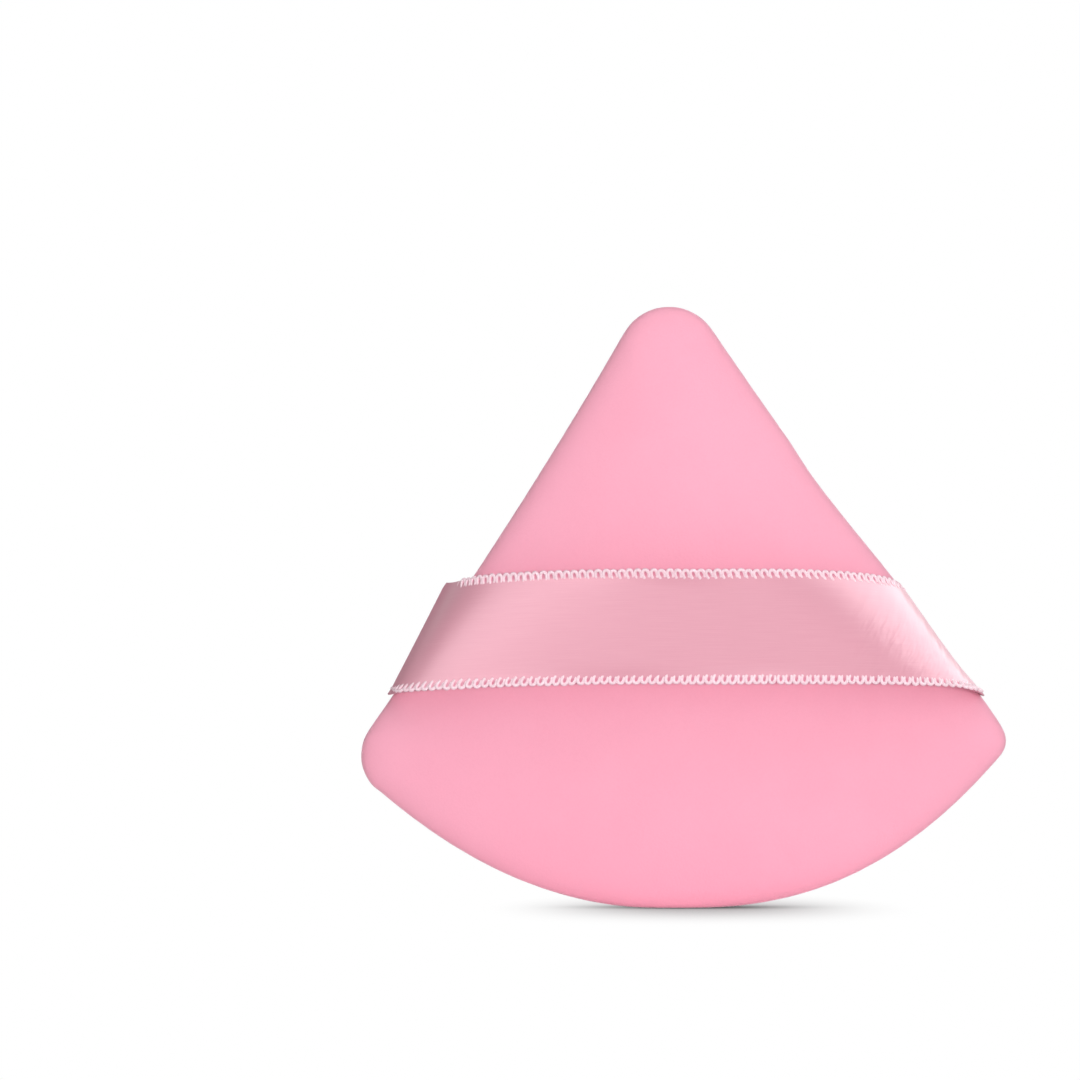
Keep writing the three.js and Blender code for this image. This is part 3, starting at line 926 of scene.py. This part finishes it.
def closeTool(graph, geometry, material):
    made = graph.add("GeometryNodeRealizeInstances", {}, {0: geometry})
    made = graph.add("GeometryNodeSetShadeSmooth", {}, {0: made})
    made = graph.add("GeometryNodeSetMaterial", {}, {"Geometry": made, "Material": material})
    graph.add("NodeGroupOutput", {}, {0: made})


def runTool(piece, tree, sizes):
    modifier = piece.modifiers.new(tree.name, "NODES")
    modifier.node_group = tree
    for item in tree.interface.items_tree:
        if item.in_out == "INPUT" and item.name in sizes:
            modifier[item.identifier] = sizes[item.name]
    applyModifiers(piece)


def newLine(name, points, vectors=None):  # a row of edges, with a vector attribute for each name
    mesh = newMesh(name, points, [(k, k + 1) for k in range(len(points) - 1)], [])
    for label, values in (vectors or {}).items():
        mesh.attributes.new(label, "FLOAT_VECTOR", "POINT").data.foreach_set("vector", np.ravel(values))
    return addObject(name, mesh)


# Picot edges: yarn loops along both edges of the ribbon

picotSizes = {
    "Pitch": 0.84 * mm,
    "Width": 0.46 * mm,  # between the feet of a loop
    "Reach": 0.86 * mm,  # from the root to the middle of the yarn at the top of a loop
    "Yarn": 0.37 * mm,
    "Sunk": 0.1 * mm,  # how deep the feet lie in the ribbon
    "Lift": 0.12 * mm,  # how far the tops lie in front of its ground
}

picotEdges = {  # fold: degrees by which the loops are folded in at the left end
    "upper": {"across": 1.0, "outward": 1, "fold": 80.0, "Slant": 14.0, "Wobble": 6.0},
    "lower": {"across": 0.0, "outward": -1, "fold": 0.0, "Slant": -20.0, "Wobble": 5.0},
}

picotLoop = {
    "steps": 12,
    "sides": 8,
    "shoulder": 1.4,  # from the middle to each handle, in widths
    "topShare": 0.75,  # part of the way to its handles that the top of the loop reaches
    "roll": 0.1,  # most that it turns by chance, in radians
    "wider": (0.94, 1.08),  # chance differences of size
    "longer": (0.95, 1.03),
}

picotLine = {
    "root": -0.2,  # roots of the loops past the ribbon's edge
    "probe": 0.2,  # step across the ribbon that finds the way outwards
    "steps": 600,
}

picotEnds = {
    "fan": 0.5,  # how square the loops stand to the line of their roots
    "rise": (0.5, 0.2),  # shares of the strap's rise between which the loops are drawn flat or folded in
    "flat": 0.35,  # part of their reach that is left there
    "sink": 0.14,  # how far flat loops sink into the ribbon
    "shift": (0.65, -0.08),  # how far the roots of folded loops move outwards and forwards
}


def makePicotTool():
    tree, graph, entry = newTool("picot_row", [*picotSizes, "Slant", "Wobble"])
    line, pitch, width, reach, yarn, sunk, lift, slant, wobble = entry
    curve = graph.add("GeometryNodeMeshToCurve", {}, {0: line})
    spots = graph.add("GeometryNodeResampleCurve", {"mode": "LENGTH"}, {"Curve": curve, "Length": pitch})

    def random(low, high, seed):
        return graph.add("FunctionNodeRandomValue", {"data_type": "FLOAT"}, {2: low, 3: high, 8: seed}, 1)

    def attribute(name):
        return graph.add("GeometryNodeInputNamedAttribute", {"data_type": "FLOAT_VECTOR"}, {"Name": name})

    def vector(x, y, z):
        return graph.add("ShaderNodeCombineXYZ", {}, {0: x, 1: y, 2: z})

    shape = picotLoop
    roll, shoulder, topShare = (shape[name] for name in ("roll", "shoulder", "topShare"))
    axes = {"primary_axis": "Y", "secondary_axis": "Z"}
    ways = {0: attribute("outward"), 1: attribute("facing")}
    upright = graph.add("FunctionNodeAxesToRotation", axes, ways)
    aslant = slant + random(-1.0, 1.0, seed=5) * wobble
    lean = graph.add("FunctionNodeEulerToRotation", {}, {
        0: vector(random(0.0, roll, seed=3), random(-roll, roll, seed=4), aslant),
    })
    turned = graph.add("FunctionNodeRotateRotation", {"rotation_space": "LOCAL"}, {0: upright, 1: lean})
    handle = reach * (1 / topShare)  # brings the top of the loop to its reach
    forward = (lift + sunk * (1 - topShare)) * (1 / topShare)
    loop = graph.add("GeometryNodeCurvePrimitiveBezierSegment", {"mode": "POSITION"}, {
        "Resolution": shape["steps"],
        "Start": vector(width * -0.5, 0.0, sunk * -1),
        "Start Handle": vector(width * -shoulder, handle, forward),
        "End Handle": vector(width * shoulder, handle, forward),
        "End": vector(width * 0.5, 0.0, sunk * -1),
    })
    uneven = vector(random(*shape["wider"], seed=6), random(*shape["longer"], seed=7), 1.0)
    loops = graph.add("GeometryNodeInstanceOnPoints", {}, {
        "Points": spots,
        "Instance": tubeAlong(graph, loop, shape["sides"], yarn),
        "Rotation": turned,
        "Scale": graph.scaled(attribute("stretch"), uneven),
    })
    closeTool(graph, loops, picotYarn)
    return tree


def makePicots(name, tree, edge, node):
    share = edge["across"] + edge["outward"] * picotLine["root"] / ribbonSizes["width"]
    step = edge["outward"] * picotLine["probe"] / ribbonSizes["width"]
    places = np.linspace(0, 1, picotLine["steps"])
    line = resample(ribbonArch(share), places)
    outward = resample(ribbonArch(share + step), places) - line
    along = units(np.gradient(line, axis=0))
    slip = np.sum(outward * along, axis=1, keepdims=True)
    outward = units(outward - picotEnds["fan"] * slip * along)
    facing = units(np.cross(along, outward) * edge["outward"])
    rise = (-line[:, 1:2] - tailGap) / (strapRise - tailGap)
    near = smooth(*picotEnds["rise"], rise)
    stretch = (1, 1, 1) - near * (0, 1 - picotEnds["flat"], 0)
    folds = near * (line[:, :1] < 0) * (edge["fold"] > 0)
    line = line + folds * (outward * picotEnds["shift"][0] + facing * picotEnds["shift"][1])
    line -= near * facing * picotEnds["sink"]
    fold = math.radians(edge["fold"]) * folds
    outward, facing = (
        outward * np.cos(fold) - facing * np.sin(fold),
        facing * np.cos(fold) + outward * np.sin(fold),
    )
    free = folds[:, 0] < 1  # folded loops end there, sewn into the seam
    vectors = {"outward": outward[free], "facing": facing[free], "stretch": stretch[free]}
    row = newLine(name, line[free], vectors)
    angles = {label: math.radians(edge[label]) for label in ("Slant", "Wobble")}
    runTool(row, tree, {**picotSizes, **angles})
    followStrap(row)
    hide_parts(node)
    return row


picotTool = makePicotTool()
picotRows = [
    makePicots("upper_picot_loops", picotTool, picotEdges["upper"], "upper_picot_edge"),
    makePicots("lower_picot_loops", picotTool, picotEdges["lower"], "lower_picot_edge"),
]
print("picot edges made:", sum(len(row.data.polygons) for row in picotRows), "faces")


# Threads: overcast round the raw edges inside, and the hand stitches that close the turning gap

threadSizes = {
    "diameter": 0.3,
    "sides": 8,
    "bend": 0.8,  # radius of its bends, in diameters
    "bendSteps": 4,
    "clearance": 0.25,
    "seamStitch": 3.4,
    "seamBite": 1.8,
    "turningGap": 30.0,
    "closingStitch": 2.0,
    "closingSlant": 0.6,  # part of a stitch that it runs along the seam while it crosses it
    "closingBite": 0.45,
    "closingDepth": 0.7,  # how deep the thread passes through the cloth
    "end": 1.5,  # from the first and last stitch to the end of its stretch
}


def makeThreadTool():
    tree, graph, entry = newTool("sewing_thread", ["Diameter", "Bend"])
    line, diameter, bend = entry
    curve = graph.add("GeometryNodeMeshToCurve", {}, {0: line})
    bends = {"Curve": curve, "Count": threadSizes["bendSteps"], "Radius": bend}
    rounded = graph.add("GeometryNodeFilletCurve", {"mode": "POLY"}, bends)
    closeTool(graph, tubeAlong(graph, rounded, threadSizes["sides"], diameter), sewingThread)
    return tree


def seamPlace(distance, depth, height):
    place = shrink(outlineAt([distance / rimLength]), depth)[0]
    return (place[0], height, place[1])


def makeThread(name, tree, points, node):
    thread = newLine(name, points)
    bend = threadSizes["diameter"] * threadSizes["bend"] * mm
    runTool(thread, tree, {"Diameter": threadSizes["diameter"] * mm, "Bend": bend})
    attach(thread, "pad")
    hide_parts(node)


def overcastPoints():
    sizes = threadSizes
    clear = sizes["clearance"] + sizes["diameter"] / 2
    deep = padSizes["seamPull"] + padSizes["allowance"] + clear
    bite = deep - sizes["seamBite"]
    stretch = rimLength - sizes["turningGap"] - 2 * sizes["end"]
    stitches = round(stretch / sizes["seamStitch"])
    points = []
    for k in range(stitches + 1):
        distance = sizes["end"] + stretch * k / stitches
        lift = float(seamHalfGap(outlineAt([distance / rimLength])[0, 1])) + padSizes["wall"] + clear
        side = 1 if k % 2 == 0 else -1
        for depth, height in ((bite, lift), (deep, lift), (deep, -lift), (bite, -lift)):
            points.append(seamPlace(distance, depth, side * height))
    return points


def closingPoints():
    sizes = threadSizes
    bite = sizes["closingBite"]
    edge = padSizes["seamPull"] * (1 - bite / padSizes["edgeRoll"]) ** 2
    deep = edge + sizes["closingDepth"]
    over = edge - sizes["diameter"] / 2
    stretch = sizes["turningGap"] - 2 * sizes["end"]
    stitches = round(stretch / sizes["closingStitch"])
    points = []
    for k in range(stitches):
        distance = rimLength - sizes["turningGap"] + sizes["end"] + stretch * k / stitches
        across = distance + sizes["closingSlant"] * stretch / stitches
        points += [seamPlace(distance, depth, bite) for depth in (deep, over)]
        points += [seamPlace(across, depth, -bite) for depth in (over, deep)]
    return points


threadTool = makeThreadTool()
makeThread("overcast_thread", threadTool, overcastPoints(), "seam_thread")
makeThread("closing_stitches", threadTool, closingPoints(), "closing_thread")
print("threads made")


# Floor, light and camera

stageSizes = {
    "radius": 1.6,  # metres
    "segments": 96,
    "grey": 0.9,  # of the floor that lights the puff from below
    "contact": 0.018,  # how far the soft shadow under the puff reaches
    "contactSamples": 16,
    "contactShade": 0.85,
    "castShare": 0.06,  # part of the floor's brightness that the lamps' shadows can take away
    "shadowMiddle": (0.002, 0.0, 0.0),
    "shadowReach": (0.002, 0.024),  # distances from there where both start to fade and are gone
    "floorLight": 0.7,  # light that reaches the bare floor
    "ambient": 0.26,
}


def makeFloor():
    sizes = stageSizes
    form = bmesh.new()
    bmesh.ops.create_circle(form, cap_ends=True, segments=sizes["segments"], radius=sizes["radius"])
    mesh = bpy.data.meshes.new("floor")
    form.to_mesh(mesh)
    form.free()
    floor = addObject("floor", mesh)
    material, graph = newMaterial("white_floor")
    ends = {0: graph.coordinates("Object"), 1: sizes["shadowMiddle"]}
    reach = graph.add("ShaderNodeVectorMath", {"operation": "DISTANCE"}, ends, "Value")
    near = 1 - graph.between(*sizes["shadowReach"], reach)
    cast = near * sizes["castShare"]
    samples = {"samples": sizes["contactSamples"]}
    covered = 1 - graph.add("ShaderNodeAmbientOcclusion", samples, {"Distance": sizes["contact"]}, "AO")
    seen = graph.seenBy("Is Glossy Ray")
    brightness = 1 - cast - covered * near * sizes["contactShade"]
    white = graph.add("ShaderNodeEmission", {}, {"Strength": brightness})
    shaded = graph.mixColour(cast * (1 / sizes["floorLight"]), grey(0.0), grey(1.0))
    catcher = graph.add("ShaderNodeBsdfDiffuse", {}, {"Color": shaded})
    plain = graph.add("ShaderNodeBsdfDiffuse", {}, {"Color": grey(sizes["grey"])})
    both = graph.add("ShaderNodeAddShader", {}, {0: white, 1: catcher})
    surface = graph.add("ShaderNodeMixShader", {}, {0: seen, 1: plain, 2: both})
    graph.add("ShaderNodeOutputMaterial", {}, {"Surface": surface})
    mesh.materials.append(material)


def makeWorld():
    world = bpy.data.worlds.new("white_room")
    world.use_nodes = True
    scene.world = world
    graph = Graph(world.node_tree)
    seen = graph.seenBy("Is Glossy Ray", "Is Transmission Ray")
    strength = seen * (1 - stageSizes["ambient"]) + stageSizes["ambient"]
    light = graph.add("ShaderNodeBackground", {}, {"Color": grey(1.0), "Strength": strength})
    graph.add("ShaderNodeOutputWorld", {}, {"Surface": light})


# bearing and height in degrees, distance and size in metres, light on what faces the box, what it is for
softboxes = {
    "front": (1.0, 1.2, 0.9, (0.6, 0.07), 0.52, "fill"),
    "right": (40.0, 16.0, 0.9, (0.6, 0.6), 0.17, "fill"),
    "top": (10.0, 62.0, 0.7, (0.5, 0.5), 0.22, "fill"),
    "back": (172.0, 12.0, 0.9, (0.4, 0.4), 0.62, "fill"),
    "rightShine": (96.0, 38.0, 0.6, (1.2, 0.5), 2.4, "shine"),
    "leftShine": (-36.0, 13.0, 0.6, (1.25, 0.55), 1.9, "shine"),
}


def makeSoftbox(name, box, aim):
    *angles, distance, size, light, purpose = box
    lamp = bpy.data.lights.new(name, "AREA")
    lamp.shape = "ELLIPSE"
    lamp.size, lamp.size_y = size
    lamp.energy = light * (math.pi * distance) ** 2
    bearing, height = (math.radians(angle) for angle in angles)
    towards = Vector((
        math.sin(bearing) * math.cos(height),
        -math.cos(bearing) * math.cos(height),
        math.sin(height),
    ))
    holder = addObject(name, lamp)
    holder.location = aim + towards * distance
    holder.rotation_euler = towards.to_track_quat("Z", "Y").to_euler()
    holder.visible_diffuse = purpose == "fill"
    holder.visible_glossy = purpose == "shine"


photo = {
    "frame": 1080,
    "pixelsPerMm": 9.214,
    "middleX": 682.5,  # pixel column of the puff's middle
    "floorY": 907,  # pixel row where it meets the floor
    "lens": 135.0,
    "sensor": 36.0,
}


def makeCamera():
    camera = bpy.data.cameras.new("camera")
    camera.lens = photo["lens"]
    camera.sensor_width = photo["sensor"]
    distance = photo["lens"] / photo["sensor"] * photo["frame"] / photo["pixelsPerMm"]
    x = (photo["frame"] / 2 - photo["middleX"]) / photo["pixelsPerMm"]
    z = (photo["floorY"] - photo["frame"] / 2) / photo["pixelsPerMm"]
    holder = addObject("camera", camera)
    holder.location = (x * mm, seamY - distance * mm, z * mm)
    holder.rotation_euler = (math.pi / 2, 0, 0)
    scene.camera = holder


makeFloor()
makeWorld()
for name, box in softboxes.items():
    makeSoftbox(name, box, Vector((0, 0, (cadLow.z + cadHigh.z) / 2)))
makeCamera()
scene.view_settings.view_transform = "Standard"
print("floor, light and camera made")
